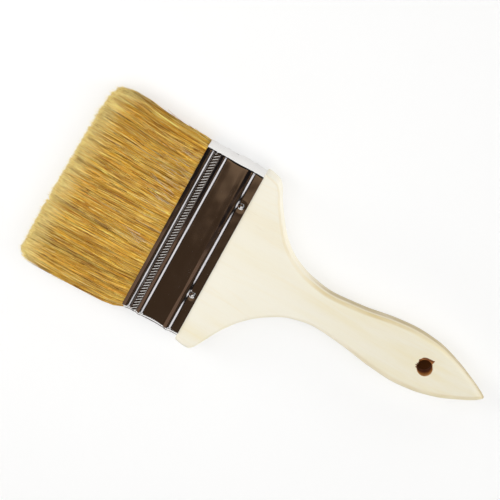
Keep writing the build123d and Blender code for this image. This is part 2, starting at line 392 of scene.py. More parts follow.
def handle_rings():
    """Cross-sections of the board from inside the ferrule to the tip, how far past the heel
    each one is, and its half width on the -Y edge."""
    reach = handle_tip_x - heel_x
    distance = np.concatenate([
        np.linspace(-TENON_LENGTH, -0.2, 8),
        np.linspace(0.0, 16.0, 56),
        np.linspace(16.5, reach - 6, 170),
        reach - 6 + 6 * np.sin(np.linspace(0.02, pi / 2, 26)),
    ])
    outline = np.array(HANDLE_OUTLINE)
    tenon_half_y = ferrule_half_y - sheet - 0.1
    half_z = handle_half_z(distance)[:, None]
    round_over = np.where(distance < 1.0, 0.8, 1.3 + 1.1 * smoothstep(6, 50, distance))
    share = np.linspace(0, 1, 44)
    angle = np.linspace(0, pi / 2, 10)[1:-1]
    drop = np.linspace(1, -1, 5)
    edges = []
    for sign, column in ((1, 1), (-1, 2)):
        half = curve_through(outline[:, [0, column]], np.maximum(distance, 0))
        half = np.where(distance < -0.1, tenon_half_y, half)
        steepness = np.sqrt(1 + np.clip(np.gradient(half, distance), -3, 3) ** 2)
        turn = np.minimum(round_over * steepness, 0.92 * half)[:, None]
        rise = np.minimum(round_over[:, None], 0.92 * half_z)
        half = half[:, None]
        arc_y = sign * (half - turn * (1 - np.sin(angle)))
        arc = np.stack([arc_y, half_z - rise * (1 - np.cos(angle))], -1)
        side = np.stack([sign * half + 0 * drop, sign * (half_z - rise) * drop], -1)
        edges.append((sign * (half - turn), arc, side, half[:, 0]))
    (right, upper_arc, upper_side, _), (left, lower_arc, lower_side, lower_half) = edges
    crown = 0.12 * (1 - (2 * share - 1) ** 2) * smoothstep(0, 8, distance)[:, None]
    top = np.stack([left + (right - left) * share, half_z + crown], -1)
    under = (1, -1)
    loop = np.concatenate([
        top, upper_arc, upper_side, upper_arc[:, ::-1] * under,
        top[:, ::-1] * under, lower_arc * under, lower_side, lower_arc[:, ::-1],
    ], 1)
    return rings_along(heel_x + distance, loop), distance, lower_half


def hole_cutter():
    """A drilled hole whose upper rim is torn: notched on one side and split on the other."""
    # how far out the torn rim reaches, by degrees round the hole from the tip's side
    rim = [
        (-150, 4.35), (-62, 4.35), (0, 4.2), (42, 4.2), (59, 4.7), (64, 6.9), (72, 6.2),
        (90, 5.8), (108, 6.0), (125, 6.1), (140, 5.7), (150, 5.9), (157, 5.0), (163, 5.2),
        (167, 4.4), (172, 5.8), (177, 4.5), (184, 5.9), (190, 4.5), (197, 5.5), (204, 4.4), (210, 4.35),
    ]
    turns = np.linspace(-150, 210, 144, endpoint=False)
    torn = np.interp(turns, *np.array(rim).T)
    angle = np.radians(turns)
    face = float(handle_half_z(HOLE_PAST_HEEL))
    # heights over the board's middle, and how much of the tear each one has
    levels = [
        (-face - 3.0, 0), (-face + 0.5, 0), (-face + 2.2, 0), (0.0, 0), (face - 3.0, 0),
        (face - 2.0, 0), (face - 1.4, 0), (face - 1.1, 0.55), (face - 0.7, 0.9), (face, 1),
        (face + 2.0, 1),
    ]
    rings = []
    for level, tear in levels:
        radius = HOLE_RADIUS + tear * (torn - HOLE_RADIUS)
        lean = -HOLE_LEAN * (face - level)
        x, y = HOLE_X + radius * np.cos(angle) + lean, radius * np.sin(angle)
        rings.append(np.stack([x, y, np.full_like(x, mid_z + level)], -1))
    return build_mesh("hole_cutter", np.concatenate(rings), closed_tube(len(levels), len(turns)))


def handle_marks(mesh, distance, lower_half):
    """Where the wood is stained, worn at its edges, sawn and darkened by painted shade along the side,
    or burnt by the drill under painted light and shade in the hole.
    """
    co, normal = vertex_vectors(mesh, "co") / MM, vertex_vectors(mesh, "normal")
    past = co[:, 0] - heel_x
    to_lower_edge = co[:, 1] + np.interp(past, distance, lower_half)
    # each streak: distance past the heel, y, half length, half width and strength
    streaks = [
        (9, -44, 26, 3.2, 0.9), (20, -33, 20, 2.2, 0.6), (14, 8, 30, 4.0, 0.25),
        (60, 3, 34, 3.0, 0.5), (84, 8, 40, 5.0, 0.55), (112, 10, 30, 4.5, 0.5),
        (140, -2, 24, 6.0, 0.45), (46, -6, 30, 2.2, 0.35),
    ]
    stain = 0.08 + 0.8 * smoothstep(55, 125, past)
    for x, y, long, wide, strength in streaks:
        stain += strength * np.exp(-(((past - x) / long) ** 2) - ((co[:, 1] - y) / wide) ** 2)
    point_attribute(mesh, "stain", np.clip(stain, 0, 1))
    upright = np.abs(normal[:, 2])
    far = smoothstep(38, 62, past)
    upper = smoothstep(-0.2, 0.2, normal[:, 1])
    near_tip = smoothstep(90, 130, past)
    rim = smoothstep(0.995 - 0.05 * near_tip, 0.90 - 0.2 * near_tip, upright)
    rim *= smoothstep(0.2, 0.5, upright)
    band = smoothstep(3.4, 2.2, to_lower_edge) * smoothstep(60, 95, past)
    worn = rim * (0.35 + 0.65 * far) * (0.35 + 0.65 * upper) * (1 - 0.7 * near_tip)
    point_attribute(mesh, "edge", np.maximum(worn, (0.42 + 0.2 * near_tip) * band))
    # painted shade: the side walls are darker, most on the +Y side and low down near the floor
    side = smoothstep(0.75, 0.3, upright)
    shade_near_floor = 0.15 + 0.85 * smoothstep(3.2, 1.2, co[:, 2] - mid_z)
    point_attribute(mesh, "side", side * far * (0.15 + 0.8 * upper) * shade_near_floor)
    half_z = handle_half_z(past)
    depth = mid_z + half_z + 0.1 - co[:, 2]
    from_x, from_y = co[:, 0] - HOLE_X + HOLE_LEAN * depth, co[:, 1]
    from_hole = np.hypot(from_x, from_y)
    reach = np.where(depth > 2 * half_z - 0.2, 5.2, 7.2)
    inside = smoothstep(0.25, 0.5, depth) * smoothstep(reach + 0.4, reach - 0.3, from_hole)
    # painted light and shade on the hole's wall over the drill burn: lighter on the +X, -Y side, darker
    # deeper down, on the -X side and at the torn +Y rim
    lit_wall = smoothstep(-4, 4, from_x - 0.8 * from_y)
    torn = 0.35 * smoothstep(-2.8, -4.6, from_x) + 0.45 * smoothstep(3.6, 5.0, from_y)
    scorch_and_shade = np.clip(0.22 + torn + 0.8 * smoothstep(1.8, 9.0, depth + 3.0 * (1 - lit_wall)), 0, 1)
    point_attribute(mesh, "burn_and_shade", inside * scorch_and_shade)


def make_handle(material):
    """The board, sanded slightly uneven, with its hole cut through it."""
    rings, distance, lower_half = handle_rings()
    points = rings.reshape(-1, 3)
    points = points + np.stack([
        np.zeros(len(points)),
        0.10 * wobble(points, (30, 30, 30), 3),
        0.05 * wobble(points, (18, 12, 12), 4),
    ], -1)
    mesh = build_mesh("handle_wood", points, closed_tube(*rings.shape[:2]))
    handle = new_object("handle_wood", mesh, material)
    cutter = new_object("hole_cutter", hole_cutter())
    cut = handle.modifiers.new("hole", "BOOLEAN")
    cut.object, cut.operation, cut.solver = cutter, "DIFFERENCE", "EXACT"
    graph = bpy.context.evaluated_depsgraph_get()
    drilled = bpy.data.meshes.new_from_object(handle.evaluated_get(graph), depsgraph=graph)
    handle.modifiers.clear()
    handle.data = drilled
    bpy.data.objects.remove(cutter)
    drilled.shade_smooth()
    drilled.set_sharp_from_angle(angle=radians(32))
    handle_marks(drilled, distance, lower_half)
    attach(handle, "brush")
    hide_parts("handle")


# ---------------- ferrule
# each bead: its start and end from the mouth, where its crest is, and how high it stands
BEADS = [(0.0, 4.6, 2.6, 0.55), (8.6, 12.4, 10.1, 0.68), (24.5, 29.2, 26.9, 0.68)]
KNURL = (4.95, 8.2)
KNURL_PITCH, KNURL_LEAN, KNURL_RISE = 1.75, 0.70, 0.34
FLAT_PANEL = (12.4, 24.5)


def plateau(low, high, soft, x):
    """0 outside low..high and 1 inside, with a smooth rise of the given length at each end."""
    return smoothstep(low, low + soft, x) * smoothstep(high, high - soft, x)


def nail_places(z):
    """Each nail's centre, and which of the points at heights z share its face of the sleeve."""
    for low, high in nail_boxes.values():
        centre = (low + high) / 2
        yield centre, (z - mid_z) * (centre[2] - mid_z) > 0


def bead_profile(x):
    """How far the sheet stands out along the sleeve, without its knurled ridges."""
    rise = np.zeros_like(x)
    for start, end, crest, height in BEADS:
        left = np.clip((x - start) / (crest - start), 0, 1)
        right = np.clip((end - x) / (end - crest), 0, 1)
        steep = np.sin(pi / 2 * left) ** 1.3
        gentle = 0.5 - 0.5 * np.cos(pi * right)
        rise += height * np.minimum(steep, gentle)
    rise -= 0.12 * np.exp(-(((x - 4.75) / 0.22) ** 2)) + 0.12 * np.exp(-(((x - 8.4) / 0.25) ** 2))
    lip = np.clip(1 - x / 0.35, 0, 1)
    return rise - 0.18 * lip**2


def sleeve_loop(half_y, half_z, radii, flats, bend, sides):
    """Points round a rounded rectangle, the way out of each, and the arc length so far.

    radii gives each ring's corner radius on the +Y edge and on the -Y edge. flats, bend and
    sides count the points on the wide faces, round each corner and on the narrow sides.
    """
    angle = np.linspace(0, pi / 2, bend)
    arcs, ways = [], []
    for side, (sy, sz) in enumerate(((1, 1), (1, -1), (-1, -1), (-1, 1))):
        turn = angle if side % 2 == 0 else pi / 2 - angle
        way = np.stack([sy * np.sin(turn), sz * np.cos(turn)], -1)
        radius = radii[0 if sy > 0 else 1][:, None, None]
        arcs.append(((half_y, half_z) - radius) * (sy, sz) + radius * way)
        ways.append(np.broadcast_to(way, arcs[-1].shape))
    points, outward = [], []
    for side, (arc, way) in enumerate(zip(arcs, ways)):
        count = sides if side % 2 == 0 else flats
        share = np.linspace(0, 1, count + 2)[1:-1, None]
        from_arc, to_arc = arc[:, -1:], arcs[(side + 1) % 4][:, :1]
        line = from_arc + (to_arc - from_arc) * share
        points += [arc, line]
        outward += [way, np.broadcast_to(way[:, -1:], line.shape)]
    points, outward = np.concatenate(points, 1), np.concatenate(outward, 1)
    steps = np.linalg.norm(np.diff(points, axis=1, append=points[:, :1]), axis=-1)
    length = np.cumsum(steps, 1) - steps
    return points, outward, length


def ferrule_stations():
    """Where the sleeve is sampled along its length: closely on beads and ridges."""
    spans = [
        (0.0, 0.6, 5), (0.6, 4.6, 17), (4.6, 5.1, 4), (5.1, 8.1, 12), (8.1, 8.7, 4),
        (8.7, 12.5, 18), (12.5, 24.4, 10), (24.4, 29.3, 21), (29.3, 33.1, 8),
    ]
    x = [np.linspace(a, b, count, endpoint=False) for a, b, count in spans]
    return np.concatenate([*x, [33.1, ferrule_length]])


def hammered_flat(x, y, z):
    """How much of the bead beside each nail the hammer has flattened, from 0 to 1."""
    amount = np.zeros_like(x)
    for centre, same_face in nail_places(z):
        amount += np.where(same_face, 0.38 * np.exp(-(((y - centre[1]) / 8.0) ** 2)), 0)
    return np.where(x > FLAT_PANEL[1], amount, 0)


def ferrule_relief(x, y, z, length, out):
    """What stands out from the plain sleeve besides its beads: ridges, crown, dimples, seam."""
    turns = round(length.max() / KNURL_PITCH)
    pitch = length.max() / turns
    phase = tau * (length - KNURL_LEAN * (x - KNURL[0])) / pitch
    ridge = (0.5 + 0.5 * np.cos(phase)) ** 1.4
    knurled = plateau(KNURL[0] - 0.1, KNURL[1] + 0.1, 0.5, x)
    on_face = np.abs(out[..., 1])
    relief = KNURL_RISE * knurled * (ridge - 0.15) * on_face**4
    across = np.clip(1 - (y / ferrule_half_y) ** 2, 0, 1)
    relief += plateau(*FLAT_PANEL, 3, x) * on_face * 0.28 * across**0.5
    for centre, same_face in nail_places(z):
        away = np.hypot(x + mouth_x - centre[0], y - centre[1])
        dimple = -0.36 * np.exp(-((away / 2.1) ** 2)) + 0.03 * np.exp(-(((away - 3.6) / 1.1) ** 2))
        relief += np.where(same_face, dimple, 0) * on_face
    on_side = np.abs(out[..., 0]) > 0.99
    seam = smoothstep(16.2, 18.4, x) * smoothstep(25.4, 22.2, x)
    seam = 0.8 * seam * smoothstep(6.0, -6.0, z - mid_z) - 0.25 * np.exp(-(((x - 15.2) / 1.6) ** 2))
    relief += np.where(on_side & (y > 0), seam, 0)
    lap = 0.25 * smoothstep(0.0, 0.25, z - mid_z)
    relief += np.where(on_side & (y < 0), lap - 0.12, 0)
    spot = np.stack([x, y, z], -1)
    return relief + 0.045 * wobble(spot, (14, 16, 14), 21) + 0.02 * wobble(spot, (5, 6, 5), 22)


def make_ferrule(material):
    """The sleeve of one bent sheet, with its beads, knurled band, seam and darker grooves in the knurl.
    """
    x = ferrule_stations()
    panel = plateau(FLAT_PANEL[0] - 0.2, FLAT_PANEL[1] + 0.2, 5.2, x)
    strip = smoothstep(29.0, 33.4, x)
    radii = (1.7 + 0.6 * panel + 0.5 * strip, 2.3 + 0.6 * panel + 0.3 * strip)
    loop, out, length = sleeve_loop(ferrule_half_y, ferrule_half_z, radii, 378, 10, 44)
    grid_x = np.broadcast_to(x[:, None], length.shape)
    z = loop[..., 1] + mid_z
    on_side = np.abs(out[..., 0]) ** 4
    flattened = hammered_flat(grid_x, loop[..., 0], z)
    relief = bead_profile(grid_x) * (1 - 0.55 * on_side) * (1 - flattened)
    relief += ferrule_relief(grid_x, loop[..., 0], z, length, out)
    outer = loop + out * relief[..., None]
    inner_x = np.array([0.1, 2.0, 12.0, 24.0, ferrule_length - 0.1])
    pick = np.abs(x[:, None] - inner_x).argmin(0)
    inner = loop[pick] - out[pick] * sheet
    rows = np.concatenate([outer, inner[::-1]])
    all_x = np.concatenate([x, inner_x[::-1]])
    points = rings_along(all_x + mouth_x, rows).reshape(-1, 3)
    rings, around = rows.shape[:2]
    quads = ring_quads(rings + 1, around) % len(points)
    mesh = build_mesh("ferrule_sheet", points, [quads])
    # darker in the knurl's sunk grooves on the wide faces
    groove = np.concatenate([relief, np.zeros(inner.shape[:2])])
    sunk = smoothstep(0.08, -0.12, groove) * smoothstep(-0.5, 0.5, all_x[:, None] - 4.4)
    sunk *= smoothstep(9.2, 8.0, all_x[:, None])
    faces = np.abs(np.concatenate([out, out[pick][::-1]])[..., 1])
    point_attribute(mesh, "groove_darkening", sunk * faces**4)
    mesh.set_sharp_from_angle(angle=radians(50))
    ferrule = new_object("ferrule_sheet", mesh, material)
    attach(ferrule, "brush")
    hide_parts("ferrule")


# ---------------- nails
NAIL_SIDES = 40
NAIL_TOP, NAIL_END = 0.52, -6.05
# each ring of a nail, from its head down: radius, and height over the plain sleeve
NAIL_PROFILE = np.array([
    (0.5, 0.60), (1.0, 0.52), (1.45, 0.36), (1.75, 0.14), (1.9, -0.12),
    (1.75, -0.32), (0.8, -0.36), (0.8, -4.4), (0.05, -6.0),
])


def make_nails(material):
    """Domed heads with a hammered flat, each a little different, on a short shank."""
    random = np.random.default_rng(11)
    turn = np.linspace(0, tau, NAIL_SIDES, endpoint=False)
    radius, height = NAIL_PROFILE[:, :1], NAIL_PROFILE[:, 1:]
    px, py = radius * np.cos(turn), radius * np.sin(turn)
    quads = ring_quads(len(NAIL_PROFILE), NAIL_SIDES)[:, ::-1]
    here = np.arange(NAIL_SIDES)
    following = (here + 1) % NAIL_SIDES
    last = (len(NAIL_PROFILE) - 1) * NAIL_SIDES
    top_point = last + NAIL_SIDES + 0 * here
    top = np.stack([following, here, top_point], -1)
    end = np.stack([last + here, last + following, top_point + 1], -1)
    for name, (low, high) in sorted(nail_boxes.items()):
        centre = (low + high) / 2
        face = 1 if centre[2] > mid_z else -1
        lean_x, lean_y = random.normal((-0.19, 0.17), 0.02)
        flat_side = random.uniform(0, tau)
        flat_x, flat_y = 0.5 * cos(flat_side), 0.5 * sin(flat_side)
        struck = 0.05 * np.exp(-((px - flat_x) ** 2 + (py - flat_y) ** 2))
        pz = height - struck * (height > 0.1) + (lean_x * px + lean_y * py) * (height > -0.2)
        points = np.stack([px, py, pz], -1).reshape(-1, 3)
        points = np.concatenate([points, [(0, 0, NAIL_TOP), (0, 0, NAIL_END)]]) * (1, face, face)
        points += (centre[0], centre[1], mid_z + face * ferrule_half_z)
        mesh = build_mesh(name + "_head", points, [quads, top, end])
        mesh.set_sharp_from_angle(angle=radians(50))
        nail = new_object(name + "_head", mesh, material)
        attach(nail, "brush")
        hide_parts(name)


# ---------------- bristles
ROOT_DEPTH = 4.0
MOUTH_HALF_Y = ferrule_half_y - sheet - 0.4
# linear colours: straw, gold, deep gold, amber, dark brown, grey
STRAND_COLOURS = np.array([
    (0.82, 0.61, 0.165), (0.76, 0.45, 0.055), (0.66, 0.335, 0.030), (0.50, 0.215, 0.018),
    (0.15, 0.052, 0.010), (0.60, 0.47, 0.24),
])
STRAND_SHARES = [0.26, 0.32, 0.20, 0.13, 0.07, 0.02]
# the tips' own paler colour, raised further as painted light
PALE_AND_LIT_TIP = np.array((1.0, 0.85, 0.36))
# painted shade: the brown of the dark gaps between clumps of bristles
GAP_SHADE_BROWN = np.array((0.27, 0.095, 0.014))
# painted highlight: the whitish colour of the loose hairs near the mouth
WISP_HIGHLIGHT_WHITE = np.array((0.82, 0.78, 0.58))
CLUMPS = 620
# the half width and half thickness that the strands' places fill
SPREAD = (50, 7)


def make_clumps():
    """The small tufts that bristles gather in: each one's place, lean, shortness and shade."""
    random = np.random.default_rng(77)
    place = random.uniform(-1, 1, (CLUMPS, 2)) * SPREAD
    lean = random.normal(0, 1.3, CLUMPS) + 0.9 * wobble(place, (9, 4), 33)
    short = np.clip(random.normal(0.6, 0.32, CLUMPS), 0.0, 1.2)
    shade = random.normal(1, 0.10, CLUMPS)
    return place, lean, short, shade


clump_place, clump_lean, clump_short, clump_shade = make_clumps()


def spread_out(across, through):
    """Strands' places, from -1 to 1 each way, in mm."""
    return np.stack([across, through], -1) * SPREAD


def nearest_clump(spot):
    """The number of the clump that each strand's place belongs to."""
    away = np.linalg.norm(spot[:, None] - clump_place[None], axis=-1)
    return away.argmin(1)


def tuft_y(across, out):
    """Where a strand is across the width: the edge strands step out over the ferrule's lip
    at once, and all of them fan out towards the tips."""
    out = np.maximum(out, 0)
    lower = across < 0
    step = np.where(lower, 3.2, 1.0) * (1 - np.exp(-out / 1.5))
    upper_fan = curve_through([(0, 0), (11, 0.1), (28, 1.0), (40, 2.7), (62, 3.1)], out)
    lower_fan = curve_through([(0, 0), (12, 0.8), (62, 1.2)], out)
    fan = np.where(lower, lower_fan, upper_fan)
    share = np.abs(across)
    return np.sign(across) * (share * MOUTH_HALF_Y + share**12 * step + share**1.5 * fan)


def tuft_half_z(out):
    """Half the tuft's thickness at a distance out of the mouth."""
    return curve_through([(0, 7.1), (5, 7.8), (30, 8.1), (48, 7.7), (62, 6.6)], np.maximum(out, 0))


def tip_retreat(y):
    """How far short of the longest bristle the cut ends are, across the width."""
    knots = [
        (-54, 3.6), (-51.7, 1.0), (-49, 0.0), (-40, 0.0), (-10, 0.6), (15, 1.4), (36, 2.2),
        (46, 3.3), (49.5, 4.2), (52.5, 9.0), (54, 12.0),
    ]
    return curve_through(knots, np.clip(y, -54, 54))


def strand_paths(across, through, rings, random, stray=1.0, window=(0.0, 1.0)):
    """Centre lines of strands. across and through are each strand's place, from -1 to 1, and
    window is the share of its length that shows, from the root to the tip."""
    count = len(across)
    free = mouth_x - bristle_tip_x
    spot = spread_out(across, through)
    clump = nearest_clump(spot)
    gather = (clump_place[clump] - spot) * (0.65, 0.35)
    drift = clump_lean[clump] + random.normal(0, stray, count)
    end_y = np.clip(across * 53 + drift, -54, 54)
    short = tip_retreat(end_y) + clump_short[clump] + random.gamma(2.2, 0.75, count)
    short += 0.65 * wobble(end_y[:, None], (1.0,), 31) - 0.5
    length = free - np.clip(short, 0, None)
    t = np.linspace(0, 1, rings)[None, :] ** 0.9
    t[0, -2] = 0.97
    t = window[0] + (window[1] - window[0]) * t
    out = -ROOT_DEPTH + (length + ROOT_DEPTH)[:, None] * t
    half_y = np.abs(tuft_y(np.sign(across)[:, None], out))
    rise = smoothstep(-1, 12, out)
    reach = np.clip(out / free, 0, 1.1)
    pitch = random.normal(0, 0.30 * stray, count)[:, None] * reach
    phase = random.uniform(0, tau, (2, count, 1))
    bow = random.exponential(0.15 * stray, count)[:, None]
    weave = random.uniform(0.08, 0.48, count)[:, None]
    gathered = smoothstep(0.35, 1.0, t)
    y = tuft_y(across[:, None], out) + drift[:, None] * reach + gather[:, :1] * gathered
    y += rise * bow * np.sin(phase[0] + out / random.uniform(6, 14, (count, 1)))
    z = through[:, None] * tuft_half_z(out) + pitch + gather[:, 1:] * gathered
    z += rise * weave * np.sin(phase[1] + out / random.uniform(3, 7, (count, 1)))
    limit = tuft_half_z(out) + 0.2
    z = limit * np.tanh(z / limit * 1.6) / np.tanh(1.6)
    soft_edge = half_y - 1.6
    beyond = np.maximum(np.abs(y) - soft_edge, 0)
    y = np.sign(y) * (np.minimum(np.abs(y), soft_edge) + 2.2 * np.tanh(beyond / 2.2))
    return np.stack([mouth_x - out, y, z + mid_z], -1), out, t


def part_strands(across, through, rings, random, stray, starts, extents):
    """Strands that show over a part of their length, where the part's start and extent are
    drawn from two ranges, and how far along the part each point is, from 0 to 1."""
    start = random.uniform(*starts, (len(across), 1))
    end = np.minimum(start + random.uniform(*extents, (len(across), 1)), 1.0)
    paths, out, t = strand_paths(across, through, rings, random, stray, (start, end))
    return paths, out, t, (t - start) / (end - start)


def make_strands(name, paths, t, radius, tint, material):
    """Three-sided tapering tubes along the paths, with tidy UVs and a colour per strand."""
    count, rings = paths.shape[:2]
    along = np.gradient(paths, axis=1)
    along /= np.linalg.norm(along, axis=-1, keepdims=True)
    side = np.cross(along, [0, 0, 1.0])
    side /= np.linalg.norm(side, axis=-1, keepdims=True)
    up = np.cross(side, along)
    random = np.random.default_rng(len(name))
    here = np.arange(3)[None, None]
    angle = random.uniform(0, tau, (count, 1, 1)) + here * tau / 3
    ring = side[:, :, None] * np.cos(angle)[..., None] + up[:, :, None] * np.sin(angle)[..., None]
    points = paths[:, :, None] + ring * radius[:, :, None, None]
    start = np.arange(count)[:, None] * rings * 3
    quads = start[:, None] + ring_quads(rings, 3)
    root, end = start + [[2, 1, 0]], start + (rings - 1) * 3 + [[0, 1, 2]]
    mesh = build_mesh(name, points.reshape(-1, 3), [quads.reshape(-1, 4), root, end])
    colour = np.concatenate([tint, np.ones(tint.shape[:2] + (1,))], -1)
    colour = np.repeat(colour[:, :, None], 3, 2)
    point_attribute(mesh, "tint", colour, "FLOAT_COLOR")
    rows = 16
    columns = -(-count // rows)
    cell = np.arange(count)
    u = ((cell % columns)[:, None, None] + 0.15 + 0.35 * here) / columns
    v = ((cell // columns)[:, None, None] + 0.04 + 0.92 * t[:, :, None]) / rows
    at_vertex = np.stack(np.broadcast_arrays(u, v), -1).reshape(-1, 2)
    corners = np.empty(len(mesh.loops), np.int32)
    mesh.loops.foreach_get("vertex_index", corners)
    layer = mesh.uv_layers.new(name="OFBake")
    layer.data.foreach_set("uv", at_vertex[corners].astype(np.float32).ravel())
    strands = new_object(name, mesh, material)
    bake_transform(strands)
    return strands


def strand_colours(t, random, spot, out):
    """Each strand's colour from root to tip: its own shade, brown streaks shared with its
    neighbours that paint the shade in the gaps between clumps, darker at the root, and pale at
    the end, where the tips' own paler colour carries painted light too."""
    count = len(spot)
    pick = random.choice(len(STRAND_COLOURS), count, p=STRAND_SHARES)
    shade = random.uniform(0.72, 1.20, count) * clump_shade[nearest_clump(spot)]
    colour = (STRAND_COLOURS[pick] * shade[:, None])[:, None] * np.ones(t.shape)[..., None]
    at = np.concatenate([np.broadcast_to(spot[:, None], out.shape + (2,)), out[..., None]], -1)
    sheen = wobble(at, (0.6, 0.9, 8), 36)[..., None]
    colour *= (1 + sheen * (0.16, 0.24, 0.30))
    # painted shade: brown streaks that stand in for the dark gaps between clumps
    streak = 0.9 * smoothstep(0.95, 1.7, wobble(at, (0.5, 0.8, 7), 37))[..., None]
    colour += (GAP_SHADE_BROWN - colour) * streak
    colour *= (1 - 0.08 * smoothstep(0.25, 0.0, t))[..., None]
    # pale ends: the tips' own paler colour with painted light on top
    pale = smoothstep(0.84, 0.985, t + random.normal(0, 0.055, (count, 1))) * 0.94
    return np.clip(colour + (PALE_AND_LIT_TIP - colour) * pale[..., None], 0, 1)


def tuft_places(columns, rows, low, high, random):
    """Jittered places on a grid across the width and through the thickness from low to high."""
    a = (np.arange(columns) + 0.5) / columns * 2 - 1
    b = low + (np.arange(rows) + 0.5) / rows * (high - low)
    a, b = (grid.ravel() for grid in np.meshgrid(a, b))
    a = np.clip(a + random.uniform(-1, 1, a.size) / columns, -1, 1)
    b = np.clip(b + random.uniform(-0.5, 0.5, b.size) * (high - low) / rows, -1, 1)
    corner = np.hypot(np.maximum(abs(a) - 0.95, 0) * 7.0, np.maximum(abs(b) - 0.65, 0)) < 0.36
    return a[corner], b[corner]


def make_bristles(material):
    """The whole tuft: layers of full-length strands and the looser hairs among them."""
    # each layer: name, strands across, strands through, the stretch of the thickness that
    # they fill, rings along a strand, radius
    layers = [
        ("bristles_front", 360, 5, 0.87, 0.98, 14, 0.150),
        ("bristles_front_second", 350, 6, 0.72, 0.87, 11, 0.160),
        ("bristles_front_inner", 300, 10, 0.45, 0.72, 8, 0.190),
        ("bristles_back", 350, 10, -0.98, -0.74, 10, 0.150),
        ("bristles_back_inner", 300, 10, -0.74, -0.45, 8, 0.190),
        ("bristles_core", 210, 20, -0.45, 0.45, 6, 0.270),
    ]
    for index, (name, columns, rows, low, high, rings, thick) in enumerate(layers):
        random = np.random.default_rng(100 + index)
        across, through = tuft_places(columns, rows, low, high, random)
        paths, out, t = strand_paths(across, through, rings, random)
        size = thick * random.uniform(0.75, 1.25, (len(across), 1))
        radius = size * (1 - 0.75 * smoothstep(0.88, 1.0, t))
        t = np.broadcast_to(t, out.shape)
        tint = strand_colours(t, random, spread_out(across, through), out)
        piece = make_strands(name, paths, t, radius, tint, material)
        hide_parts("bristle_tuft")
    for make_hairs in make_flags, make_short_hairs, make_edge_hairs, make_wisp_highlights, make_strays:
        make_hairs(material)


def make_flags(material):
    """The split, paler ends of the bristles: fine hairs over the last few millimetres."""
    random = np.random.default_rng(140)
    across, through = tuft_places(340, 16, -1.0, 1.0, random)
    paths, out, t = strand_paths(across, through, 18, random)
    keep = 4
    paths, out = paths[:, -keep:].copy(), out[:, -keep:]
    along = np.linspace(0, 1, keep)[None]
    paths[..., 1:] += random.normal(0, 0.35, (len(across), 1, 2)) * along[..., None]
    longer = np.minimum(random.gamma(1.1, 0.75, (len(across), 1)), 2.0) - 0.5
    paths[..., 0] -= longer * along
    share = np.broadcast_to(along, paths.shape[:2])
    radius = 0.080 * random.uniform(0.7, 1.2, (len(across), 1)) * (1 - 0.6 * share)
    tint = strand_colours(0.86 + 0.14 * share, random, spread_out(across, through), out)
    make_strands("bristle_flags", paths, share, radius, tint, material)


def make_short_hairs(material):
    """Bristles that surface for part of their length and end among the others."""
    random = np.random.default_rng(170)
    count = 3000
    across = random.uniform(-0.99, 0.99, count)
    through = random.uniform(0.90, 1.0, count) * np.where(random.random(count) < 0.62, 1, -1)
    starts, extents = (0.02, 0.78), (0.14, 0.42)
    paths, out, t, share = part_strands(across, through, 7, random, 1.7, starts, extents)
    lift = random.normal(0.12, 0.16, (count, 1)) * share
    paths[..., 2] = np.clip(paths[..., 2] + np.sign(through)[:, None] * lift, 0.2, 2 * mid_z)
    radius = 0.13 * random.uniform(0.7, 1.25, (count, 1)) * (1 - 0.5 * share)
    spot = spread_out(across, through)
    tint = strand_colours(t, random, spot + random.normal(0, 0.6, spot.shape), out)
    # painted shade: a fifth of the short hairs are brown like the shaded gaps between clumps
    dark = random.random(count) < 0.20
    radius[dark] *= 1.4
    brown = GAP_SHADE_BROWN * random.uniform(0.5, 1.2, (dark.sum(), 1))
    tint[dark] += (brown[:, None] - tint[dark]) * smoothstep(0.98, 0.80, t[dark])[..., None]
    make_strands("short_hairs", paths, t, radius, tint, material)


def make_edge_hairs(material):
    """Bristles that part from the tuft's two narrow sides and give them a rough outline."""
    random = np.random.default_rng(180)
    count = 1500
    side = np.where(random.random(count) < 0.5, 1, -1)
    across = side * random.uniform(0.93, 1.0, count)
    through = random.uniform(-0.85, 0.85, count)
    starts, extents = (0.05, 0.82), (0.10, 0.3)
    paths, out, t, share = part_strands(across, through, 6, random, 0.8, starts, extents)
    flick = random.exponential(0.35, (count, 1)) * share**1.5
    paths[..., 1] += side[:, None] * flick
    radius = 0.13 * random.uniform(0.7, 1.25, (count, 1)) * (1 - 0.5 * share)
    tint = strand_colours(t, random, spread_out(across, through), out)
    make_strands("edge_hairs", paths, t, radius, tint, material)


def make_wisp_highlights(material):
    """A few hairs that lie across the others just outside the ferrule, coloured whitish as a painted
    highlight.
    """
    random = np.random.default_rng(190)
    count = 48
    across = random.uniform(-0.35, 0.85, count)
    through = random.uniform(0.95, 1.0, count)
    starts, extents = (0.06, 0.24), (0.08, 0.20)
    paths, out, t, share = part_strands(across, through, 6, random, 2.0, starts, extents)
    paths[..., 1] += random.normal(0.7, 0.9, (count, 1)) * share
    paths[..., 2] = np.clip(paths[..., 2] + 0.35, 0.2, 2 * mid_z)
    radius = 0.09 * random.uniform(0.7, 1.2, (count, 1)) * (1 - 0.5 * share)
    shade = random.uniform(0.8, 1.05, (count, 1, 1))
    tint = np.clip(WISP_HIGHLIGHT_WHITE * shade * np.ones(out.shape + (1,)), 0, 1)
    make_strands("pale_wisps", paths, t, radius, tint, material)


def make_strays(material):
    """A few loose hairs that lie across the others or stand off the tuft's faces."""
    random = np.random.default_rng(160)
    count = 260
    across = random.uniform(-0.97, 0.97, count)
    through = np.sign(random.uniform(-1, 1, count)) * random.uniform(0.9, 1.0, count)
    paths, out, t = strand_paths(across, through, 12, random, stray=1.8)
    radius = 0.09 * random.uniform(0.7, 1.3, (count, 1)) * (1 - 0.5 * t)
    t = np.broadcast_to(t, out.shape)
    tint = strand_colours(t, random, spread_out(across, through), out)
    make_strands("stray_hairs", paths, t, radius, tint, material)


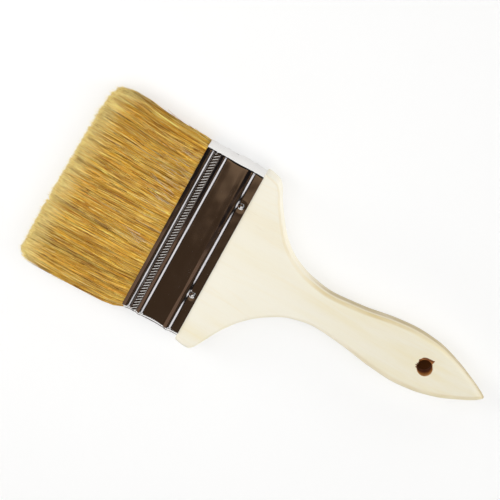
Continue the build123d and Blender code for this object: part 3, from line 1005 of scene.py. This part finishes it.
# ---------------- studio
VIEW_LEAN = radians(17.0)
VIEW_ROLL = radians(29.0)
VIEW_DISTANCE = 3.0
PICTURE_WIDTH = 0.2628
LOOK_AT = Vector((-0.0191, 0.0089, mid_z * MM))
SENSOR = 36.0
HOLE_SHADE = (0.080, 0.029, 0.010)
WARM_WHITE = (1, 0.995, 0.985)
# each light: name, place, what it points at, size, radiance
LIGHTS = [
    ("sky_fill", (0.1, 0.0, 1.6), (0, 0, 0), (2.6, 2.6), 1.14),
    ("right_fill", (1.4, 0.35, 0.45), (0, 0, 0), (0.6, 1.1), 6.0),
    ("left_fill", (-1.4, 0.0, 0.40), (-0.1, 0, 0), (0.6, 1.1), 4.6),
    ("north_fill", (0.1, 1.5, 0.5), (0, 0, 0), (1.2, 0.6), 3.0),
    ("south_fill", (0.1, -1.5, 0.35), (0, 0, 0), (1.2, 0.4), 4.0),
    ("tuft_fill", (-0.17, 0.0, 0.20), (-0.11, 0, 0), (0.08, 0.2), 2.8),
]


def make_camera():
    """A long lens, leaning towards +Y, with the brush running down to the right."""
    level = Vector((0, cos(VIEW_LEAN), -sin(VIEW_LEAN)))
    back = Vector((0, sin(VIEW_LEAN), cos(VIEW_LEAN)))
    right = Vector((1, 0, 0)) * cos(VIEW_ROLL) + level * sin(VIEW_ROLL)
    up = level * cos(VIEW_ROLL) - Vector((1, 0, 0)) * sin(VIEW_ROLL)
    data = bpy.data.cameras.new("camera")
    data.sensor_width = SENSOR
    data.lens = SENSOR * VIEW_DISTANCE / PICTURE_WIDTH
    data.clip_end = 20
    camera = new_object("camera", data)
    place = LOOK_AT + back * VIEW_DISTANCE
    camera.matrix_world = Matrix.Translation(place) @ Matrix((right, up, back)).transposed().to_4x4()
    bpy.context.scene.camera = camera


def make_light(name, place, aim, size, radiance):
    """A rectangular soft light, unseen in mirrors, whose brightness is its own radiance."""
    data = bpy.data.lights.new(name, "AREA")
    data.shape, data.size, data.size_y = "RECTANGLE", *size
    data.energy = radiance * pi * size[0] * size[1]
    data.color = WARM_WHITE
    light = new_object(name, data)
    away = (Vector(place) - Vector(aim)).normalized()
    turned = away.to_track_quat("Z", "Y").to_matrix().to_4x4()
    light.matrix_world = Matrix.Translation(place) @ turned
    light.visible_glossy = light.visible_camera = False


def card_material(name, low, high, scale, change=None):
    """A glow that only mirrors see: low and high colours in clouds, or low turning to high
    along one of the card's axes, with change as (axis, start, end, waviness) in metres."""
    s = Shader(name)
    s.tree.nodes.remove(s.surface)
    cloud = s.noise(scale, 2)
    if change is None:
        amount = s.span(cloud, 0.42, 0.66)
    else:
        axis, start, end, waviness = change
        place = s.node("SeparateXYZ", Vector=s.coords()).outputs[axis]
        wave = s.times(s.math("SUBTRACT", cloud, 0.5), waviness)
        amount = s.span(s.math("ADD", place, wave), start, end)
    glow = s.node("Emission", Color=s.mix(amount, low, high), Strength=1.0)
    s.tree.links.new(glow.outputs[0], s.tree.nodes["Material Output"].inputs["Surface"])
    return s.material


def make_card(name, centre, half_x, half_y, tilt, material, lean=0):
    """A flat card with no shadow that shows in mirrors alone. tilt is an axis and degrees, and
    lean is a further turn about X in degrees."""
    card = new_object(name, flat_mesh(name, half_x, half_y), material)
    axis, degrees = tilt
    turned = Matrix.Rotation(radians(lean), 4, "X") @ Matrix.Rotation(radians(degrees), 4, axis)
    card.matrix_world = Matrix.Translation(centre) @ turned
    card.visible_camera = card.visible_diffuse = card.visible_shadow = False
    card.visible_transmission = card.visible_volume_scatter = False


def make_floor():
    """A pale floor that fades to dark brown in the deep shade behind the hanging hole."""
    s = Shader("pale_floor", roughness=0.9, specular_ior_level=0.0, emission_strength=0.53)
    centre = Vector((HOLE_X - 1.9, -1.1, 0.0)) * MM
    away = s.node("VectorMath", {"operation": "DISTANCE"}, i0=s.coords(), i1=centre)
    open_floor = s.span(away.outputs["Value"], 0.0040, 0.0085)
    colour = s.mix(open_floor, HOLE_SHADE, (0.45, 0.45, 0.45))
    glow = s.mix(open_floor, (0, 0, 0), (1.0, 1.0, 0.995))
    material = s.finish(base_color=colour, emission_color=glow)
    floor = new_object("floor", flat_mesh("floor", 6, 6), material)


def make_studio():
    """A near-black world with soft lights, cards for the metal to mirror, and the floor."""
    world = bpy.data.worlds.new("world")
    world.use_nodes = True
    world.node_tree.nodes["Background"].inputs["Color"].default_value = (0.012, 0.010, 0.009, 1)
    bpy.context.scene.world = world
    bpy.context.scene.view_settings.view_transform = "Standard"
    for settings in LIGHTS:
        make_light(*settings)
    bright = card_material("window_white", (0.55, 0.54, 0.56), (0.92, 0.90, 0.93), 3.0)
    make_card("right_window", (0.86, -0.25, 0.92), 0.15, 0.9, ("Y", 42), bright)
    wall = card_material("wall_white", (0.95, 0.95, 0.95), (1.2, 1.2, 1.2), 1.0)
    make_card("low_wall", (-0.1, -1.6, 0.35), 1.6, 0.42, ("X", 90), wall)
    make_card("north_wall", (-0.1, 1.6, 0.25), 1.6, 0.25, ("X", 90), wall)
    make_card("south_window", (0.16, -0.70, 0.78), 0.36, 0.25, ("X", 48), wall)
    dark, light = (0.046, 0.0265, 0.0150), (0.165, 0.105, 0.064)
    ceiling = card_material("ceiling_brown", dark, light, 9.0, (1, 0.140, 0.200, 0.26))
    make_card("ceiling_card", (-0.055, -0.3, 0.62), 0.185, 0.6, ("X", 0), ceiling)
    light, dark = (0.150, 0.092, 0.062), (0.010, 0.008, 0.008)
    left = card_material("left_brown", light, dark, 12.0, (1, 0.153, 0.171, 0.02))
    make_card("left_card", (-0.32, -0.3, 0.36), 0.33, 0.5, ("Y", 90), left, 12)
    # painted shade: a dark card that only mirrors see, on the floor beside the sleeve's -Y side,
    # standing in for the shade there
    flag = card_material("floor_shade_black", (0.03, 0.027, 0.024), (0.05, 0.045, 0.04), 30.0)
    make_card("floor_shade_card", (-0.048, -0.0935, 0.0002), 0.017, 0.0415, ("X", 0), flag)
    make_floor()


# ---------------- the whole brush
make_camera()
make_studio()
make_handle(wood_material())
make_ferrule(tinplate_material())
make_nails(nail_material())
bristle = bristle_material()
make_bristles(bristle)
hidden_pieces = {
    "resin_set": resin_material(),
    "spacer_plug": plug_material(),
    "bristle_roots_front": bristle,
    "bristle_roots_back": bristle,
}
for name, material in hidden_pieces.items():
    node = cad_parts[name]
    node.data.materials.clear()
    node.data.materials.append(material)
